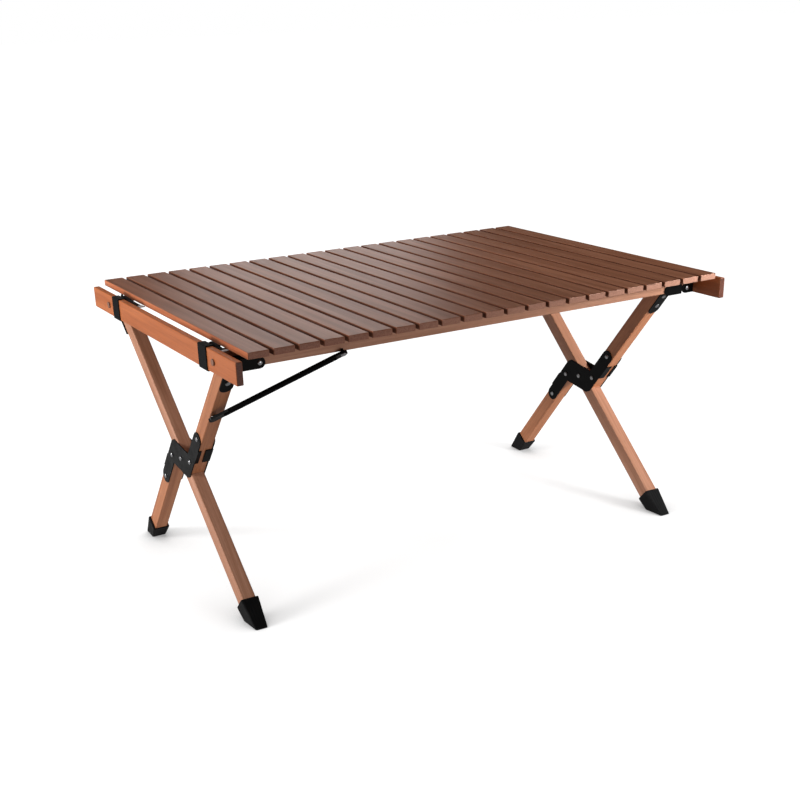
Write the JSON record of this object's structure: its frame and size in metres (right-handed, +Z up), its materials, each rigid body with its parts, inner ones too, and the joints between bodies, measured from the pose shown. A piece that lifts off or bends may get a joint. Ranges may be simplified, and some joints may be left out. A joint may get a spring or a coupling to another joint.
{
  "type": "folding picnic table",
  "caption": "Low folding picnic table with a roll-up slatted wooden top on two scissor-leg ends joined by long rails.",
  "frame": {"origin": "On the floor, under the middle of the tabletop.", "axes": "+Z up, X along the table and its long rails, -Y towards the front rail and the brace."},
  "size_m": [0.9042, 0.604, 0.458],
  "materials": {
    "wood_top": "stained slats, satin clear coat",
    "wood_rail": "stained rails, satin clear coat",
    "wood_leg": "stained legs, satin clear coat",
    "black_steel": "black powder coat",
    "bright_steel": "plated",
    "black_rubber": "matt moulded",
    "black_webbing": "woven webbing"
  },
  "bodies": {
    "frame": {"front_rail": "wood_rail", "right_rail_plate": "black_steel"},
    "tabletop": {"slat_01": "wood_top", "slat_02": "wood_top", "slat_03": "wood_top", "slat_04": "wood_top", "front_belt": "black_webbing", "back_belt": "black_webbing"},
    "slat_05_body": {"slat_05": "wood_top"},
    "slat_06_body": {"slat_06": "wood_top"},
    "slat_07_body": {"slat_07": "wood_top"},
    "slat_08_body": {"slat_08": "wood_top"},
    "slat_09_body": {"slat_09": "wood_top"},
    "slat_10_body": {"slat_10": "wood_top"},
    "slat_11_body": {"slat_11": "wood_top"},
    "slat_12_body": {"slat_12": "wood_top"},
    "slat_13_body": {"slat_13": "wood_top"},
    "slat_14_body": {"slat_14": "wood_top"},
    "slat_15_body": {"slat_15": "wood_top"},
    "slat_16_body": {"slat_16": "wood_top"},
    "slat_17_body": {"slat_17": "wood_top"},
    "slat_18_body": {"slat_18": "wood_top"},
    "slat_19_body": {"slat_19": "wood_top"},
    "slat_20_body": {"slat_20": "wood_top"},
    "slat_21_body": {"slat_21": "wood_top"},
    "slat_22_body": {"slat_22": "wood_top"},
    "left_front_corner": {"left_front_bracket": "black_steel", "left_front_bolt": "bright_steel"},
    "left_split_leg": {"left_split_leg_upper": "wood_leg", "left_split_leg_lower": "wood_leg", "left_outer_cross_plate": "black_steel", "left_inner_cross_plate": "black_steel", "left_back_foot": "black_rubber", "left_front_clip": "black_steel"},
    "left_long_leg": {"left_continuous_leg": "wood_leg", "left_front_foot": "black_rubber", "left_back_catch": "black_steel"},
    "left_end_rail_body": {"left_end_rail": "wood_rail", "left_rear_stud": "bright_steel", "left_front_strap": "black_webbing", "left_back_strap": "black_webbing"},
    "left_back_corner": {"left_back_bracket": "black_steel"},
    "right_front_corner": {"right_front_bracket": "black_steel", "right_front_bolt": "bright_steel"},
    "right_split_leg": {"right_split_leg_upper": "wood_leg", "right_split_leg_lower": "wood_leg", "right_outer_cross_plate": "black_steel", "right_inner_cross_plate": "black_steel", "right_back_foot": "black_rubber", "right_front_clip": "black_steel"},
    "right_long_leg": {"right_continuous_leg": "wood_leg", "right_front_foot": "black_rubber", "right_back_catch": "black_steel"},
    "right_end_rail_body": {"right_end_rail": "wood_rail", "right_rear_stud": "bright_steel", "right_front_strap": "black_webbing", "right_back_strap": "black_webbing"},
    "right_back_corner": {"right_back_bracket": "black_steel"},
    "back_rail_body": {"back_rail": "wood_rail"},
    "stay": {"leg_stay": "black_steel"}
  },
  "joints": [
    {"name": "top_lift", "type": "slide", "parent": "frame", "child": "tabletop", "axis": [0, 0, 1], "range_m": [0, 0.12]},
    {"name": "top_roll", "type": "hinge", "parent": "tabletop", "child": "slat_05_body", "pos_m": [-0.27567, 0, 0.448], "axis": [0, -1, 0], "range_deg": [0, 24.39], "deforming": ["front_belt", "back_belt"]},
    {"name": "slat_06_roll", "type": "hinge", "parent": "slat_05_body", "child": "slat_06_body", "pos_m": [-0.23629, 0, 0.448], "axis": [0, -1, 0], "range_deg": [0, 24.75]},
    {"name": "slat_07_roll", "type": "hinge", "parent": "slat_06_body", "child": "slat_07_body", "pos_m": [-0.1969, 0, 0.448], "axis": [0, -1, 0], "range_deg": [0, 25.11]},
    {"name": "slat_08_roll", "type": "hinge", "parent": "slat_07_body", "child": "slat_08_body", "pos_m": [-0.15752, 0, 0.448], "axis": [0, -1, 0], "range_deg": [0, 25.5]},
    {"name": "slat_09_roll", "type": "hinge", "parent": "slat_08_body", "child": "slat_09_body", "pos_m": [-0.11814, 0, 0.448], "axis": [0, -1, 0], "range_deg": [0, 25.9]},
    {"name": "slat_10_roll", "type": "hinge", "parent": "slat_09_body", "child": "slat_10_body", "pos_m": [-0.07876, 0, 0.448], "axis": [0, -1, 0], "range_deg": [0, 26.33]},
    {"name": "slat_11_roll", "type": "hinge", "parent": "slat_10_body", "child": "slat_11_body", "pos_m": [-0.03938, 0, 0.448], "axis": [0, -1, 0], "range_deg": [0, 26.77]},
    {"name": "slat_12_roll", "type": "hinge", "parent": "slat_11_body", "child": "slat_12_body", "pos_m": [0, 0, 0.448], "axis": [0, -1, 0], "range_deg": [0, 27.24]},
    {"name": "slat_13_roll", "type": "hinge", "parent": "slat_12_body", "child": "slat_13_body", "pos_m": [0.03938, 0, 0.448], "axis": [0, -1, 0], "range_deg": [0, 27.74]},
    {"name": "slat_14_roll", "type": "hinge", "parent": "slat_13_body", "child": "slat_14_body", "pos_m": [0.07876, 0, 0.448], "axis": [0, -1, 0], "range_deg": [0, 28.26]},
    {"name": "slat_15_roll", "type": "hinge", "parent": "slat_14_body", "child": "slat_15_body", "pos_m": [0.11814, 0, 0.448], "axis": [0, -1, 0], "range_deg": [0, 28.81]},
    {"name": "slat_16_roll", "type": "hinge", "parent": "slat_15_body", "child": "slat_16_body", "pos_m": [0.15752, 0, 0.448], "axis": [0, -1, 0], "range_deg": [0, 29.4]},
    {"name": "slat_17_roll", "type": "hinge", "parent": "slat_16_body", "child": "slat_17_body", "pos_m": [0.1969, 0, 0.448], "axis": [0, -1, 0], "range_deg": [0, 30.03]},
    {"name": "slat_18_roll", "type": "hinge", "parent": "slat_17_body", "child": "slat_18_body", "pos_m": [0.23629, 0, 0.448], "axis": [0, -1, 0], "range_deg": [0, 30.7]},
    {"name": "slat_19_roll", "type": "hinge", "parent": "slat_18_body", "child": "slat_19_body", "pos_m": [0.27567, 0, 0.448], "axis": [0, -1, 0], "range_deg": [0, 31.42]},
    {"name": "slat_20_roll", "type": "hinge", "parent": "slat_19_body", "child": "slat_20_body", "pos_m": [0.31505, 0, 0.448], "axis": [0, -1, 0], "range_deg": [0, 32.19]},
    {"name": "slat_21_roll", "type": "hinge", "parent": "slat_20_body", "child": "slat_21_body", "pos_m": [0.35443, 0, 0.448], "axis": [0, -1, 0], "range_deg": [0, 33.02]},
    {"name": "slat_22_roll", "type": "hinge", "parent": "slat_21_body", "child": "slat_22_body", "pos_m": [0.39381, 0, 0.448], "axis": [0, -1, 0], "range_deg": [0, 33.92]},
    {"name": "left_leg_fold", "type": "hinge", "parent": "frame", "child": "left_front_corner", "pos_m": [-0.3895, -0.237, 0.426], "axis": [0, -1, 0], "range_deg": [0, 90]},
    {"name": "right_leg_fold", "type": "hinge", "parent": "frame", "child": "right_front_corner", "pos_m": [0.4165, -0.237, 0.426], "axis": [0, 1, 0], "range_deg": [0, 70]},
    {"name": "left_split_leg_swing", "type": "hinge", "parent": "left_front_corner", "child": "left_split_leg", "pos_m": [-0.41275, -0.223, 0.431], "axis": [-1, 0, 0], "range_deg": [0, 43.4]},
    {"name": "frame_scissor", "type": "hinge", "parent": "left_split_leg", "child": "left_long_leg", "pos_m": [-0.41275, 0.0185, 0.2105], "axis": [1, 0, 0], "range_deg": [0, 86.8]},
    {"name": "left_back_corner_swing", "type": "hinge", "parent": "left_long_leg", "child": "left_back_corner", "pos_m": [-0.41275, 0.2545, 0.423], "axis": [-1, 0, 0], "range_deg": [0, 43.4]},
    {"name": "left_end_rail_swing", "type": "hinge", "parent": "left_split_leg", "child": "left_end_rail_body", "pos_m": [-0.4447, -0.223, 0.431], "axis": [-1, 0, 0], "range_deg": [0, 50.35]},
    {"name": "right_split_leg_swing", "type": "hinge", "parent": "right_front_corner", "child": "right_split_leg", "pos_m": [0.41275, -0.223, 0.431], "axis": [-1, 0, 0], "range_deg": [0, 43.4]},
    {"name": "right_scissor", "type": "hinge", "parent": "right_split_leg", "child": "right_long_leg", "pos_m": [0.41275, 0.0185, 0.2105], "axis": [1, 0, 0], "range_deg": [0, 86.8]},
    {"name": "right_back_corner_swing", "type": "hinge", "parent": "right_long_leg", "child": "right_back_corner", "pos_m": [0.41275, 0.2545, 0.423], "axis": [-1, 0, 0], "range_deg": [0, 43.4]},
    {"name": "right_end_rail_swing", "type": "hinge", "parent": "right_split_leg", "child": "right_end_rail_body", "pos_m": [0.4447, -0.223, 0.431], "axis": [-1, 0, 0], "range_deg": [0, 50.35]},
    {"name": "back_rail_level", "type": "hinge", "parent": "left_back_corner", "child": "back_rail_body", "pos_m": [-0.3895, 0.279, 0.42675], "axis": [0, 1, 0], "range_deg": [0, 90]},
    {"name": "stay_swing", "type": "hinge", "parent": "frame", "child": "stay", "pos_m": [-0.258, -0.253, 0.42], "axis": [0, -0.6517, -0.7585], "range_deg": [0, 136.54]}
  ],
  "couplings": [
    {"joint": "slat_06_roll", "follows": "top_roll", "ratio": 1.0144},
    {"joint": "slat_07_roll", "follows": "top_roll", "ratio": 1.0295},
    {"joint": "slat_08_roll", "follows": "top_roll", "ratio": 1.0453},
    {"joint": "slat_09_roll", "follows": "top_roll", "ratio": 1.0618},
    {"joint": "slat_10_roll", "follows": "top_roll", "ratio": 1.0792},
    {"joint": "slat_11_roll", "follows": "top_roll", "ratio": 1.0975},
    {"joint": "slat_12_roll", "follows": "top_roll", "ratio": 1.1167},
    {"joint": "slat_13_roll", "follows": "top_roll", "ratio": 1.137},
    {"joint": "slat_14_roll", "follows": "top_roll", "ratio": 1.1584},
    {"joint": "slat_15_roll", "follows": "top_roll", "ratio": 1.1812},
    {"joint": "slat_16_roll", "follows": "top_roll", "ratio": 1.2053},
    {"joint": "slat_17_roll", "follows": "top_roll", "ratio": 1.231},
    {"joint": "slat_18_roll", "follows": "top_roll", "ratio": 1.2585},
    {"joint": "slat_19_roll", "follows": "top_roll", "ratio": 1.2879},
    {"joint": "slat_20_roll", "follows": "top_roll", "ratio": 1.3195},
    {"joint": "slat_21_roll", "follows": "top_roll", "ratio": 1.3537},
    {"joint": "slat_22_roll", "follows": "top_roll", "ratio": 1.3906},
    {"joint": "left_split_leg_swing", "follows": "frame_scissor", "ratio": 0.5},
    {"joint": "left_back_corner_swing", "follows": "frame_scissor", "ratio": 0.5},
    {"joint": "left_end_rail_swing", "follows": "frame_scissor", "ratio": 0.58},
    {"joint": "right_split_leg_swing", "follows": "frame_scissor", "ratio": 0.5},
    {"joint": "right_scissor", "follows": "frame_scissor", "ratio": 1},
    {"joint": "right_back_corner_swing", "follows": "frame_scissor", "ratio": 0.5},
    {"joint": "right_end_rail_swing", "follows": "frame_scissor", "ratio": 0.58},
    {"joint": "back_rail_level", "follows": "left_leg_fold", "ratio": 1},
    {"joint": "stay_swing", "follows": "frame_scissor", "ratio": 1.573}
  ]
}
